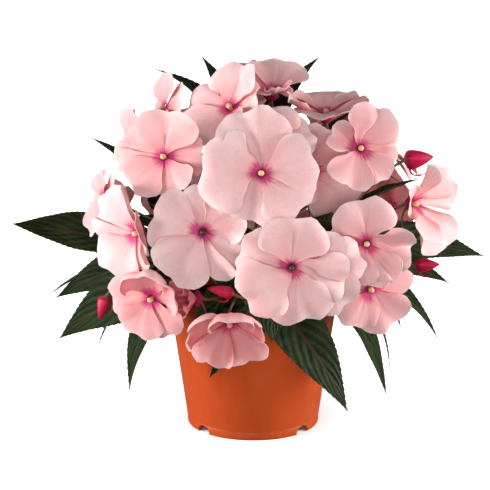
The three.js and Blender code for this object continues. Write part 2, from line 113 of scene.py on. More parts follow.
# Flowers: shoot, throat x, y, z, turn, rise, roll, petal length, cup, depth of colour (own tone, and
# painted shade on flowers in shadow)
BLOOMS = [
    ("shoot_centre", -15, -30, 224, -24, 40, 0, 33, 0.1, 0.25),
    ("shoot_front_left", -57, -56, 197, -20, 18, 0, 31, 0.06, 0.5),
    ("shoot_front", 5, -86, 193, 0, 20, 0, 37, 0.04, 0.22),
    ("shoot_front", -32, -82, 154, 2, 10, 0, 34, 0.05, 0.14),
    ("shoot_front", 24, -104, 137, 4, 4, 0, 36, 0.03, 0.26),
    ("shoot_right", 69, -48, 201, 8, 16, 0, 29, 0.08, 0.4),
    ("shoot_front_right", 72, -80, 146, 4, 6, 0, 30, 0.06, 0.3),
    ("shoot_right", 105, -34, 161, 50, 6, 0, 31, 0.5, 0.15),
    ("shoot_front_left", -65, -82, 110, -20, -8, 0, 29, 0.1, 0.55),
    ("shoot_front", -15, -101, 100, 4, -32, 0, 27, 0.34, 0.65),
    ("shoot_front_left", -75, -62, 148, -32, 4, 0, 35, 0.14, 0.25),
    ("shoot_centre", 48, -8, 215, 10, 84, 0, 28, 0.34, 0.35),
    ("shoot_centre", 12, 12, 226, 14, 70, -30, 29, 0.3, 0.35),
    ("shoot_front_right", 76, -62, 111, 16, -6, 0, 31, 0.06, 0.5),
    ("shoot_front_right", 41, -94, 132, 2, 2, 0, 28, 0.06, 0.1),
    ("shoot_centre", 14, -54, 207, 8, 36, 0, 26, 0.08, 0.2),
    ("shoot_front_right", 38, -36, 184, 4, 8, 0, 31, 0.06, 0.3),
    ("shoot_left", -59, 5, 217, -70, 20, 10, 26, 0.14, 0.5),
    ("shoot_left", -79, -6, 197, -66, 8, 0, 25, 0.12, 0.5),
    ("shoot_left", -100, -6, 158, -68, 12, 18, 28, 0.12, 0.4),
    ("shoot_front", -38, -78, 109, -60, 6, 0, 13, 0.9, 0.9),
    ("shoot_centre", -4, 34, 228, -10, 50, 0, 18, 0.14, 0.5),
    ("shoot_right", 92, 18, 186, 96, 38, 0, 29, 0.1, 0.3),
    ("shoot_back_right", 62, 60, 190, 140, 40, 0, 30, 0.1, 0.5),
    ("shoot_back_left", -14, 69, 199, -170, 42, 20, 32, 0.08, 0.2),
    ("shoot_back_left", -64, 50, 187, -134, 38, 0, 28, 0.1, 0.45),
    ("shoot_right", 97, 56, 134, 118, 4, 20, 30, 0.1, 0.6),
    ("shoot_back_right", 65, 91, 152, 148, 14, 0, 30, 0.08, 0.25),
    ("shoot_back_right", 17, 94, 157, 174, 18, 30, 32, 0.06, 0.4),
    ("shoot_back_left", -55, 88, 143, -148, 10, 10, 31, 0.08, 0.3),
    ("shoot_left", -98, 50, 128, -112, 4, 0, 31, 0.1, 0.55),
    ("shoot_back_right", 52, 106, 102, 154, -10, 0, 27, 0.1, 0.65),
    ("shoot_back_left", -20, 108, 108, -170, -14, 20, 28, 0.1, 0.3),
]

# Flowers whose petals stand out in the view: turn and reach of the upper, left,
# lower left, lower right and right petal against the even five
PETAL_HABITS = {
    0: [(-8, 1), (18, 1.06), (-6, 1), (0, 0.45), (0, 0.4)],
    1: [(-2, 1.03), (10, 1.08), (-6, 0.97), (-6, 0.86), (-10, 0.88)],
    2: [(18, 1.12), (28, 1.1), (20, 0.9), (12, 1), (0, 1)],
    3: [(-20, 0.92), (-4, 1.06), (0, 1.12), (-6, 1.06), (-8, 0.76)],
    4: [(-5, 0.95), (0, 0.98), (-18, 1.08), (-20, 1.1), (-30, 1.06)],
    5: [(-22, 1.05), (-12, 0.8), (11, 0.98), (-6, 0.92), (-18, 0.92)],
    6: [(5, 1.04), (24, 0.84), (16, 0.9), (-14, 0.95), (-26, 1.08)],
    7: [(-24, 0.92), (0, 0.7), (10, 0.84), (-8, 1.15), (4, 1)],
    8: [(8, 0.78), (22, 1.06), (10, 1.02), (-14, 1), (0, 0.72)],
    9: [(0, 0.7), (6, 1.08), (0, 1), (-8, 1.05), (0, 0.8)],
    10: [(12, 1), (0, 1.06), (0, 1), (0, 0.6), (0, 0.6)],
    12: [(0, 1.12), (0, 0.85), (0, 0.7), (0, 0.6), (0, 0.5)],
    13: [(0, 0.8), (0, 0.8), (12, 0.95), (-6, 1.06), (4, 1)],
    14: [(0, 1), (0, 0.4), (0, 0.45), (0, 1.1), (0, 1.1)],
    16: [(-20, 1), (0, 0.7), (0, 0.8), (10, 1.2), (0, 0.8)],
    19: [(0, 0.65), (0, 1.15), (0, 1), (0, 0.8), (0, 0.8)],
}

# Petals rolled over along a line from the throat: flower, petal, where the line runs
# from -1 to 1 across the petal, the side that rolls, degrees, width of the roll
PETAL_FOLDS = {
    (1, 4): (0.1, -1, -30, 8),
    (5, 1): (0.1, 1, 55, 8),
    (6, 4): (-0.2, 1, 40, 8),
    (7, 0): (0.45, 1, 120, 4),
    (9, 2): (0.5, 1, 60, 6),
    (13, 1): (0.2, 1, 40, 8),
    (14, 4): (0.0, -1, 30, 8),
}

# Petals pleated along a line: where it runs, the side that laps over the other, share
# of its width it keeps, degrees it laps, how far it stands off
PETAL_PLEATS = {
    (3, 3): (0.1, -1, 0.8, 12, 3.6),
    (4, 4): (-0.1, 1, 0.9, 7, 2.4),
    (5, 0): (-0.1, 1, 0.85, 8, 2.2),
    (6, 3): (0.2, -1, 0.85, 10, 3.2),
    (7, 3): (0.0, 1, 0.9, 8, 2.0),
    (1, 1): (0.1, 1, 0.7, 8, 2.0),
    (10, 1): (0.2, 1, 0.9, 7, 2.0),
}

# Petals whose outer part curls: share of the length where it starts, degrees towards
# the front at the rim, length against the outline
PETAL_CURLS = {
    (0, 1): (0.5, -25, 1),
    (2, 0): (0.7, -20, 1.06),
    (2, 1): (0.7, -30, 1),
    (3, 0): (0.6, -25, 1),
    (3, 4): (0.6, 34, 1.12),
    (4, 0): (0.7, -30, 1),
    (4, 2): (0.6, -35, 1),
    (5, 4): (0.6, -40, 1),
    (6, 0): (0.7, -30, 1),
    (6, 3): (0.5, 50, 1.1),
    (8, 0): (0.5, 140, 1.45),
    (8, 4): (0.3, 82, 1.35),
    (9, 0): (0.48, 100, 1.45),
    (9, 1): (0.5, 80, 1.15),
    (9, 2): (0.5, 50, 1.1),
    (9, 3): (0.5, 45, 1.1),
    (9, 4): (0.4, 75, 1.2),
    (0, 3): (0.6, 0, 1.5),
    (0, 4): (0.6, 0, 1.9),
    (10, 1): (0.6, -40, 1),
    (10, 3): (0.6, -20, 1.2),
    (10, 4): (0.6, -20, 1.4),
    (11, 1): (0.2, 28, 1.05),
    (11, 4): (0.2, 24, 1.05),
    (11, 2): (0.4, -25, 1),
    (12, 3): (0.4, 50, 1),
    (20, 1): (0.5, 50, 1),
}

# Rim ruffles in millimetres where they are more than usual
PETAL_RUFFLES = {
    (2, 0): 1.5, (3, 2): 1.0, (3, 3): 2.4, (3, 4): 1.8, (4, 4): 1.6, (5, 0): 1.3, (5, 4): 2.0,
    (6, 3): 1.8, (6, 4): 2.2, (7, 3): 1.5, (7, 4): 1.6, (11, 1): 1.6, (11, 4): 1.5, (21, 0): 1.8,
    (21, 1): 1.8,
}

# Which neighbours a petal lies over, right edge and left edge, where not the usual
PETAL_LAYERS = {
    (2, 0): (-1.2, -1.6), (2, 1): (1, 1), (2, 2): (-1, -1), (2, 3): (1, -1), (2, 4): (1, 1),
    (3, 0): (-1.4, -1), (3, 1): (0.6, -1), (3, 4): (1, 1.6),
}

# Petals that spread further or less than usual: turn added, width against the usual
PETAL_SPANS = {
    (2, 0): (-6, 0.8),
    (2, 1): (-14, 1.4),
    (2, 2): (6, 1.1),
    (3, 1): (4, 1.15),
    (3, 4): (22, 1.25),
}

# Flowers of which one side stands up: direction of the crease, its distance from the
# throat, degrees the side right of it stands up, width of the bend
FLOWER_FOLDS = {
    0: (100, 2.0, 38, 9),
    10: (112, 2.6, 66, 7),
}

# Buds: shoot, x, y, z of the bud's middle, turn, rise, length, thickness
BUDS = [
    ("shoot_right", 110, -10, 186, 92, 6, 20, 13.5),
    ("shoot_right", 117, -14, 114, 80, 4, 17, 10),
    ("shoot_front_left", -98, -60, 97, -50, -70, 16, 9),
    ("shoot_front", -21, -92, 118, -100, 10, 18, 8),
    ("shoot_back_right", 18, 114, 118, 172, 10, 16, 9),
    ("shoot_back_left", -84, 84, 118, -140, -10, 16, 9),
]

# Leaves that show: shoot, place along the shoot, tip x, y, z, width, lift, roll
OUTER_LEAVES = [
    ("shoot_left", 0.9, -161, -14, 142, 32, -12, -44),
    ("shoot_left", 0.7, -132, -22, 93, 28, 8, -50),
    ("shoot_front_left", 0.65, -128, -46, 72, 38, 12, -50),
    ("shoot_front_left", 0.5, -81, -64, 43, 28, 20, 0),
    ("shoot_front", 0.5, -28, -91, 60, 32, 22, -40),
    ("shoot_front", 0.5, 61, -80, 34, 33, 22, 40),
    ("shoot_front_right", 0.85, 88, -52, 36, 28, 5, 0),
    ("shoot_front_right", 0.45, 92, -22, 46, 20, 20, 0),
    ("shoot_right", 0.55, 126, 0, 58, 26, 16, 10),
    ("shoot_right", 0.7, 135, 22, 91, 26, 6, 30),
    ("shoot_right", 0.9, 158, 20, 111, 32, 2, 36),
    ("shoot_centre", 0.95, 45, 42, 245, 24, 12, 0),
    ("shoot_centre", 1, 68, 32, 210, 22, 0, 0),
    ("shoot_centre", 0.9, -35, 38, 246, 26, 6, 0),
    ("shoot_centre", 0.9, -67, 50, 235, 24, 16, 0),
    ("shoot_left", 0.97, -111, 40, 189, 22, 6, 0),
    ("shoot_back_right", 0.65, 122, 84, 86, 30, 10, 0),
    ("shoot_back_right", 0.85, 88, 98, 50, 32, 2, 0),
    ("shoot_back_right", 0.85, 24, 116, 50, 30, 2, 0),
    ("shoot_back_left", 0.85, -54, 110, 50, 32, 2, 0),
    ("shoot_back_left", 0.65, -104, 94, 84, 30, 10, 0),
    ("shoot_left", 0.55, -142, 46, 76, 30, 12, 0),
    ("shoot_front", 0.62, -37, -81, 68, 26, 14, 0),
    ("shoot_front", 0.85, 12, -92, 84, 34, 6, 0),
    ("shoot_right", 1, 110, -6, 171, 26, 2, 0),
    ("shoot_left", 0.45, -106, 4, 52, 30, 16, 0),
    ("shoot_right", 0.5, 104, 46, 52, 30, 16, 0),
]

# Leaves within the dome: place along the shoot, turn from the shoot's own,
# radius and height of the tip, width, lift
INNER_LEAVES = [
    (1, -12, 74, 160, 32, -2),
    (0.88, 13, 88, 136, 28, 4),
    (0.76, -12, 88, 108, 28, 8),
]
MIDDLE_LEAVES = [
    (0.95, -160, 46, 184, 26, 4),
    (0.95, 124, 46, 188, 26, 4),
    (0.9, -66, 60, 186, 26, 4),
    (0.9, -8, 54, 190, 26, 4),
    (0.95, 52, 54, 188, 26, 4),
]

UP = np.array([0.0, 0.0, 1.0])


# Repeatable variation from -1 to 1 for item i, trait j
def vary(i, j):
    return math.sin(12.9898 * i + 78.233 * j)


def unit(v):
    return v / np.linalg.norm(v)


# Unit vector towards turn degrees right of the front and rise degrees above level
def heading(turn, rise):
    a, e = math.radians(turn), math.radians(rise)
    return np.array([math.sin(a) * math.cos(e), -math.cos(a) * math.cos(e), math.sin(e)])


def turned_about(v, axis, degrees):
    a = math.radians(degrees)
    return v * math.cos(a) + np.cross(axis, v) * math.sin(a) + axis * (axis @ v) * (1 - math.cos(a))


def bezier(points, t):
    a, b, c, d = points
    t = np.asarray(t, float)[..., None]
    return (1 - t) ** 3 * a + 3 * (1 - t) ** 2 * t * b + 3 * (1 - t) * t**2 * c + t**3 * d


# A mesh in the making: points, quads and triangles, a material for each face, and
# for each point its place on the surface and its tone
class Shape:
    def __init__(self):
        self.points, self.faces, self.slots, self.places, self.tones = [], [], [], [], []
        self.count = 0

    def add(self, points, faces, slot, place, tone):
        points = np.asarray(points, float).reshape(-1, 3)
        self.points.append(points)
        self.faces += [tuple(i + self.count for i in f) for f in faces]
        self.slots += [slot] * len(faces)
        self.places.append(np.broadcast_to(np.asarray(place, float), points.shape))
        self.tones.append(np.broadcast_to(np.asarray(tone, float), points.shape))
        self.count += len(points)


# A closed blade: a grid of points thickened along its own normals
def add_blade(shape, grid, half, slot, place, tone):
    rows, cols = grid.shape[:2]
    down, across = np.gradient(grid, axis=0), np.gradient(grid, axis=1)
    normal = np.cross(across, down)
    normal /= np.maximum(np.linalg.norm(normal, axis=2, keepdims=True), 1e-9)
    half = np.broadcast_to(half, (rows, cols))[..., None]
    faced = (grid + normal * half).reshape(-1, 3)
    backed = (grid - normal * half).reshape(-1, 3)
    points = np.concatenate([faced, backed])
    back = rows * cols
    faces = []
    for r in range(rows - 1):
        for c in range(cols - 1):
            a = r * cols + c
            faces.append((a, a + cols, a + cols + 1, a + 1))
            faces.append((back + a, back + a + 1, back + a + cols + 1, back + a + cols))
    top = list(range(cols))
    right = [r * cols + cols - 1 for r in range(1, rows)]
    bottom = [(rows - 1) * cols + c for c in range(cols - 2, -1, -1)]
    left = [r * cols for r in range(rows - 2, 0, -1)]
    ring = top + right + bottom + left
    for a, b in zip(ring, ring[1:] + ring[:1]):
        faces.append((a, b, back + b, back + a))
    place = np.asarray(place, float).reshape(-1, 3)
    under = place * (1, 1, -1)
    tone = np.broadcast_to(np.asarray(tone, float), (rows, cols, 3)).reshape(-1, 3)
    shape.add(points, faces, slot, np.concatenate([place, under]), np.concatenate([tone, tone]))


# A tube along a line of points, closed at both ends
def add_tube(shape, line, radii, sides, slot, tone=(0, 0, 0)):
    line = np.asarray(line, float)
    radii = np.broadcast_to(radii, len(line))
    along = np.gradient(line, axis=0)
    along /= np.linalg.norm(along, axis=1, keepdims=True)
    side = unit(np.cross(along[0], UP if abs(along[0][2]) < 0.9 else np.array([1.0, 0, 0])))
    angles = np.arange(sides) / sides * 2 * math.pi
    rings, places = [], []
    for i, (p, d, r) in enumerate(zip(line, along, radii)):
        side = unit(side - d * (side @ d))
        other = np.cross(d, side)
        rings.append(p + r * (np.cos(angles)[:, None] * side + np.sin(angles)[:, None] * other))
        places.append([(i / (len(line) - 1), k / sides, 0) for k in range(sides)])
    points = np.concatenate([np.concatenate(rings), line[:1], line[-1:]])
    places = np.concatenate([np.concatenate(places), [(0, 0, 0), (1, 0, 0)]])
    first, last = len(line) * sides, len(line) * sides + 1
    faces = []
    for i in range(len(line) - 1):
        for k in range(sides):
            a, b = i * sides + k, i * sides + (k + 1) % sides
            faces.append((a, b, b + sides, a + sides))
    for k in range(sides):
        n = (k + 1) % sides
        faces.append((n, k, first))
        faces.append((last - 1 - sides + k, last - 1 - sides + n, last))
    shape.add(points, faces, slot, places, tone)


# A solid turned about the local z axis from (radius, height) points that start and
# end on it, carried by a frame; lobes ripple its radius
def add_turned(
    shape, profile, sides, slot, frame_of, tone=(0, 0, 0), lobes=0, ripple=0.0, twist=0.0
):
    inner = profile[1:-1]
    points, places = [], []
    for i, (r, z) in enumerate(inner):
        for k in range(sides):
            a = k / sides * 2 * math.pi
            wide = r * (1 + ripple * math.cos(lobes * a + twist * z))
            points.append((wide * math.cos(a), wide * math.sin(a), z))
            places.append((i / len(inner), k / sides, 0))
    for r, z in (profile[0], profile[-1]):
        points.append((0, 0, z))
        places.append((0, 0, 0))
    first, last = len(inner) * sides, len(inner) * sides + 1
    faces = []
    for i in range(len(inner) - 1):
        for k in range(sides):
            a, b = i * sides + k, i * sides + (k + 1) % sides
            faces.append((a, b, b + sides, a + sides))
    for k in range(sides):
        n = (k + 1) % sides
        faces.append((n, k, first))
        faces.append((first - sides + k, first - sides + n, last))
    shape.add(frame_of(np.array(points, float)), faces, slot, places, tone)


def make_piece(name, shape, materials, nodes):
    mesh = bpy.data.meshes.new(name)
    points = np.concatenate(shape.points) * 0.001
    mesh.from_pydata(points.tolist(), [], shape.faces)
    for key, rows in (("place", shape.places), ("tone", shape.tones)):
        layer = mesh.attributes.new(key, "FLOAT_VECTOR", "POINT")
        layer.data.foreach_set("vector", np.concatenate(rows).astype(np.float32).ravel())
    for material in materials:
        mesh.materials.append(material)
    mesh.polygons.foreach_set("material_index", shape.slots)
    mesh.polygons.foreach_set("use_smooth", [True] * len(mesh.polygons))
    mesh.set_sharp_from_angle(angle=math.radians(55))
    mesh.update()
    piece = bpy.data.objects.new(name, mesh)
    bpy.context.collection.objects.link(piece)
    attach(piece, "root")
    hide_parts(*nodes)
    return piece


# A flower's or bud's frame: local z faces out of it, y is its top
def frame_at(x, y, z, turn, rise):
    face = heading(turn, rise)
    top = unit(UP - face * face[2])
    side = np.cross(top, face)
    basis = np.array([side, top, face])
    return lambda points: np.asarray(points) @ basis + np.array([x, y, z], float)


# How far a petal's outline reaches, from -1 at one side to 1 at the other
def petal_reach(v):
    rounding = 0.62 + 0.38 * np.sqrt(np.clip(1 - np.abs(v) ** 2.6, 0, 1))
    return rounding - 0.09 * np.exp(-((v / 0.18) ** 2))


def smooth(x):
    x = np.clip(x, 0, 1)
    return x * x * (3 - 2 * x)


# How far along and how far up a sheet gets when it rolls through an angle over a width
def rolled(distance, angle, width):
    angle = np.where(np.abs(angle) < 1e-4, 1e-4, angle)
    within = np.clip(distance, 0, width)
    after = np.maximum(distance - width, 0)
    turn = angle * within / width
    along = width * np.sin(turn) / angle + after * np.cos(angle)
    up = width * (1 - np.cos(turn)) / angle + after * np.sin(angle)
    return along, up


# Places across a petal, closer together where it folds or pleats
def petal_columns(key):
    across = np.sin(np.linspace(-1, 1, PETAL_COLUMNS) * math.pi / 2)
    for lines, width in ((PETAL_FOLDS, 0.26), (PETAL_PLEATS, 0.16)):
        if key in lines:
            line, way = lines[key][:2]
            across = np.concatenate([across, line + way * width * (np.arange(10) + 0.3) / 9])
    return np.unique(np.clip(np.sort(across).round(5), -1, 1))


# The side of a flower right of a crease, stood up towards the front
def fold_flower(x, y, height, direction, distance, degrees, width):
    a = math.radians(direction)
    along = x * math.cos(a) + y * math.sin(a)
    beyond = x * math.sin(a) - y * math.cos(a) - distance
    angle = math.radians(degrees)
    turn = angle * np.clip(beyond / width, 0, 1)
    near, up = rolled(beyond, angle, width)
    near = np.where(beyond > 0, near - height * np.sin(turn), beyond) + distance
    up = np.where(beyond > 0, up + height * np.cos(turn), height)
    across = along * math.cos(a) + near * math.sin(a)
    upward = along * math.sin(a) - near * math.cos(a)
    return across, upward, up


# One petal's grid in the flower's own frame
def petal_grid(seed, k, roll, length, cup):
    key = (seed, k)
    u, v = np.meshgrid(np.linspace(0, 1, PETAL_ROWS), petal_columns(key), indexing="ij")
    own = 7 * seed + k
    habits = PETAL_HABITS.get(seed)
    swing, share = habits[k] if habits else (4 * vary(seed, k), 1 + 0.06 * vary(seed, k + 10))
    start, curl, extra = PETAL_CURLS.get(key, (0.6, 12 * vary(own, 6) - 8, 1))
    turn = np.radians(PETAL_TURNS[k] + roll + swing * np.minimum(1, 2 * u))
    rim = 1 + 0.022 * np.sin(5 * v + 3 * vary(own, 1)) + 0.016 * np.sin(9 * v + 3 * vary(own, 2))
    rim += 0.009 * np.sin(19 * v + 3 * vary(own, 7))
    full = length * share * extra * petal_reach(v) * rim - CLAW_RADIUS
    outer = full * (1 - start)
    along, rise = rolled(full * u - full * start, math.radians(curl), outer)
    reach = CLAW_RADIUS + np.where(u > start, full * start + along, full * u)
    open_share = 0.8 + 0.2 * u + 0.03 * u * np.sin(6 * u + 3 * vary(own, 3))
    added, wide = PETAL_SPANS.get(key, (0, 1))
    turn = turn + math.radians(added)
    spread = math.radians(PETAL_SPREADS[k] * wide) * open_share
    a = turn + spread * v
    bend = 0.06 * vary(seed, k + 20) - 0.05
    right, left = PETAL_LAYERS.get(key, EDGE_LIFTS[k])
    lift = EDGE_LIFT * (right + (left - right) * (v + 1) / 2) * u**0.7
    wave = 0.03 * u * u * np.sin(6 * v + 3 * vary(seed, k + 30))
    ruffles = PETAL_RUFFLES.get(key, 0.6)
    frill = np.sin(7 * v + 4 * vary(own, 4)) + 0.6 * np.sin(13 * v + 4 * vary(own, 5))
    ruffle = ruffles * u**4 * frill
    crease_depth = 1.1 if k == 0 else 0.5
    crease = -crease_depth * np.exp(-((v / 0.09) ** 2)) * np.sin(math.pi * np.minimum(1, 0.9 * u))
    dome = 0.035 * length * u * (0.5 - v * v) * np.sin(math.pi * u * 0.6)
    height = lift + length * ((cup + bend * u) * u + wave) + ruffle + crease + dome
    height = height + np.where(u > start, rise, 0)
    if key in PETAL_PLEATS:
        line, way, keep, lap, stand = PETAL_PLEATS[key]
        off = (v - line) * way
        over = smooth(off / 0.16) * np.minimum(1, 1.6 * u)
        middle = turn + spread * line
        a = np.where(off > 0, middle + (a - middle) * keep - way * math.radians(lap) * over, a)
        height = height + stand * over * (1 - 0.45 * np.clip(off, 0, 1))
    x, y = reach * np.cos(a), reach * np.sin(a)
    if key in PETAL_FOLDS:
        line, way, degrees, width = PETAL_FOLDS[key]
        middle = turn + spread * line
        down = x * np.cos(middle) + y * np.sin(middle)
        beyond = (y * np.cos(middle) - x * np.sin(middle)) * way
        near, up = rolled(beyond, math.radians(degrees) * np.minimum(1, 3 * u), width)
        near = np.where(beyond > 0, near, beyond) * way
        x = down * np.cos(middle) - near * np.sin(middle)
        y = down * np.sin(middle) + near * np.cos(middle)
        height = height + np.where(beyond > 0, up, 0)
    if seed in FLOWER_FOLDS:
        x, y, height = fold_flower(x, y, height, *FLOWER_FOLDS[seed])
    grid = np.stack([x, y, height], axis=-1)
    place = np.stack([u, v, np.ones_like(u)], axis=-1)
    return grid, place


# A flower: five petals, throat, pollen column and the spur behind
def add_bloom(shape, seed, at, roll, length, cup, colour_and_shade_depth):
    for k in range(5):
        grid, place = petal_grid(seed, k, roll, length, cup)
        far = np.hypot(grid[..., 0], grid[..., 1]) / 10
        own = np.full_like(far, vary(seed, k + 50))
        tone = np.stack([far, np.full_like(far, colour_and_shade_depth), own], axis=-1)
        add_blade(shape, at(grid), PETAL_HALF_THICKNESS, 0, place, tone)
    add_turned(shape, THROAT_CUP, 20, 0, at, tone=(0.25, colour_and_shade_depth, 0))
    column_slot = 2 if seed in SPENT_FLOWERS else 1
    add_turned(shape, COLUMN, 12, column_slot, at, lobes=5, ripple=0.08)
    steps = np.linspace(0, 1, 12)
    reach = 24 + 5 * vary(seed, 60)
    bow, end = 2 * vary(seed, 61), 3 * vary(seed, 62)
    spur = np.array([(0, -2, -5), (0, -7, -10), (bow, -0.55 * reach, -13), (end, -reach, -8)])
    add_tube(shape, at(bezier(spur, steps)), 0.95 - 0.65 * steps, 8, 3)


# Materials: small helpers that wire up one node tree
class Paint:
    def __init__(self, name, roughness, **settings):
        self.material = bpy.data.materials.new(name)
        self.material.use_nodes = True
        self.tree = self.material.node_tree
        self.shader = self.tree.nodes["Principled BSDF"]
        self.shader.inputs["Roughness"].default_value = roughness
        for key, value in settings.items():
            self.shader.inputs[key.replace("_", " ")].default_value = value

    def node(self, kind, **inputs):
        made = self.tree.nodes.new("ShaderNode" + kind)
        for key, value in inputs.items():
            self.feed(made, key.replace("_", " "), value)
        return made

    # Sockets go by name, or by number after an i
    def feed(self, node, socket, value):
        by_number = socket[0] == "i" and socket[1:].isdigit()
        target = node.inputs[int(socket[1:])] if by_number else node.inputs[socket]
        if isinstance(value, bpy.types.NodeSocket):
            self.tree.links.new(value, target)
        else:
            target.default_value = value

    def math(self, operation, a, b=0.0, c=0.5, clamp=False):
        made = self.node("Math", i0=a, i1=b, i2=c)
        made.operation = operation
        made.use_clamp = clamp
        return made.outputs[0]

    def attribute(self, name):
        made = self.node("Attribute")
        made.attribute_name = name
        split = self.node("SeparateXYZ", Vector=made.outputs["Vector"])
        return split.outputs

    def mix(self, factor, a, b):
        made = self.tree.nodes.new("ShaderNodeMix")
        made.data_type = "RGBA"
        self.feed(made, "i0", factor)
        self.feed(made, "i6", a)
        self.feed(made, "i7", b)
        return made.outputs[2]

    def noise(self, scale, detail=3.0, vector=None, roughness=0.55):
        made = self.node("TexNoise", Scale=scale, Detail=detail, Roughness=roughness)
        vector = vector or self.node("TexCoord").outputs["Object"]
        self.feed(made, "Vector", vector)
        return made.outputs["Fac"]

    def band(self, value, low, high):
        made = self.node("MapRange", Value=value, From_Min=low, From_Max=high)
        made.interpolation_type = "SMOOTHSTEP"
        return made.outputs["Result"]

    def vector(self, x, y, z):
        return self.node("CombineXYZ", X=x, Y=y, Z=z).outputs[0]

    def bump(self, height, strength, distance):
        made = self.node("Bump", Height=height, Strength=strength, Distance=distance)
        self.feed(self.shader, "Normal", made.outputs[0])

    def colour(self, value):
        self.feed(self.shader, "Base Color", value)

    def rough(self, value):
        self.feed(self.shader, "Roughness", value)


def petal_material():
    p = Paint("petal", 0.62, Subsurface_Weight=0.3, Subsurface_Scale=0.002)
    p.shader.inputs["Subsurface Radius"].default_value = (1.0, 0.45, 0.4)
    u, v = p.attribute("place")[:2]
    far, colour_and_shade_depth, own = p.attribute("tone")
    across = p.math("MULTIPLY", v, 9.0)
    outward = p.math("MULTIPLY", far, 0.5)
    apart = p.math("MULTIPLY", own, 30.0)
    streaks = p.noise(1.0, 4.0, p.vector(across, outward, apart))
    grain = p.noise(900.0, 2.0)
    cloud = p.noise(60.0, 3.0)
    # Painted shade: each flower's depth of colour, higher on flowers in shadow, mixed with random tone,
    # turns the pale pink towards deep coral
    tone_and_shade = p.math("ADD", p.math("MULTIPLY_ADD", cloud, 0.5, -0.25), colour_and_shade_depth)
    # Painted shade and bounced glow: petals turn deeper coral towards the throat, inside the flower's cup
    inward_shade = p.math("MULTIPLY", p.band(far, 2.6, 0.6), 0.28)
    tone_and_shade = p.math("ADD", tone_and_shade, inward_shade)
    rim = p.math("MULTIPLY", p.band(u, 0.8, 1.0), 0.25)
    tone_and_shade = p.math("SUBTRACT", tone_and_shade, rim, clamp=True)
    base = p.mix(tone_and_shade, (0.90, 0.62, 0.61, 1), (0.87, 0.25, 0.26, 1))
    lines = p.math("MULTIPLY", p.band(streaks, 0.55, 0.75), 0.25)
    base = p.mix(lines, base, (0.83, 0.35, 0.38, 1))
    specks = p.math("MULTIPLY", p.band(p.noise(420.0, 3.0, roughness=0.7), 0.46, 0.72), 0.3)
    base = p.mix(specks, base, (0.84, 0.36, 0.36, 1))
    reach = p.math("MULTIPLY_ADD", streaks, 0.7, 0.3)
    reach = p.math("ADD", reach, p.math("MULTIPLY", own, 0.16))
    blotch = p.band(p.math("SUBTRACT", far, reach), 0.3, -0.25)
    base = p.mix(p.math("MULTIPLY", blotch, 0.95), base, (0.58, 0.012, 0.16, 1))
    heart = p.band(far, 0.45, 0.3)
    p.colour(p.mix(p.math("MULTIPLY", heart, 0.8), base, (0.3, 0.005, 0.06, 1)))
    height = p.math("ADD", p.math("MULTIPLY", streaks, 0.8), p.math("MULTIPLY", grain, 0.25))
    p.bump(height, 0.35, 0.0006)
    return p.material


def column_material(name, pale, dark):
    p = Paint(name, 0.5, Subsurface_Weight=0.2, Subsurface_Scale=0.001)
    fine = p.noise(1400.0, 3.0)
    p.colour(p.mix(p.band(fine, 0.35, 0.65), pale, dark))
    p.bump(fine, 0.5, 0.0004)
    return p.material


def leaf_material():
    p = Paint("leaf", 0.42, Specular_IOR_Level=0.2)
    u, v, side = p.attribute("place")
    red = p.attribute("tone")[1]
    out = p.math("POWER", p.math("ABSOLUTE", v), 1.15)
    run = p.math("SUBTRACT", p.math("MULTIPLY", u, 9.0), p.math("MULTIPLY", out, 2.8))
    wobble = p.noise(160.0, 2.0)
    run = p.math("ADD", run, p.math("MULTIPLY", wobble, 0.35))
    gap = p.math("ABSOLUTE", p.math("SUBTRACT", p.math("FRACT", run), 0.5))
    vein = p.band(gap, 0.10, 0.03)
    middle = p.band(p.math("ABSOLUTE", v), 0.09, 0.04)
    any_vein = p.math("MAXIMUM", vein, middle)
    cells = p.node("TexVoronoi", Scale=700.0)
    cells.feature = "DISTANCE_TO_EDGE"
    net = p.band(cells.outputs[0], 0.0, 0.12)
    patch = p.noise(70.0, 4.0)
    green = p.mix(p.band(patch, 0.3, 0.7), (0.009, 0.019, 0.004, 1), (0.026, 0.047, 0.010, 1))
    # Painted highlight: lighter green on the raised quilting between the veins
    green = p.mix(p.math("MULTIPLY", p.band(gap, 0.2, 0.5), 0.45), green, (0.045, 0.078, 0.016, 1))
    # Painted shade: darker green in the sunk vein grooves
    green = p.mix(p.math("MULTIPLY", vein, 0.5), green, (0.006, 0.012, 0.003, 1))
    rib = p.mix(red, (0.07, 0.10, 0.035, 1), (0.11, 0.035, 0.03, 1))
    green = p.mix(p.math("MULTIPLY", middle, 0.6), green, rib)
    under = p.band(side, 0.2, -0.2)
    p.colour(p.mix(p.math("MULTIPLY", under, 0.8), green, (0.06, 0.08, 0.04, 1)))
    height = p.math("ADD", p.band(gap, 0.0, 0.5), p.math("MULTIPLY", net, 0.12))
    height = p.math("SUBTRACT", height, p.math("MULTIPLY", any_vein, 0.5))
    p.bump(height, 0.8, 0.0014)
    p.rough(p.math("MULTIPLY_ADD", patch, 0.25, 0.3))
    return p.material


def stem_material():
    p = Paint("stem", 0.45, Subsurface_Weight=0.15, Subsurface_Scale=0.002)
    tint = p.noise(90.0, 3.0)
    p.colour(p.mix(p.band(tint, 0.35, 0.7), (0.16, 0.13, 0.05, 1), (0.32, 0.07, 0.06, 1)))
    p.bump(p.noise(600.0, 2.0), 0.3, 0.0005)
    return p.material


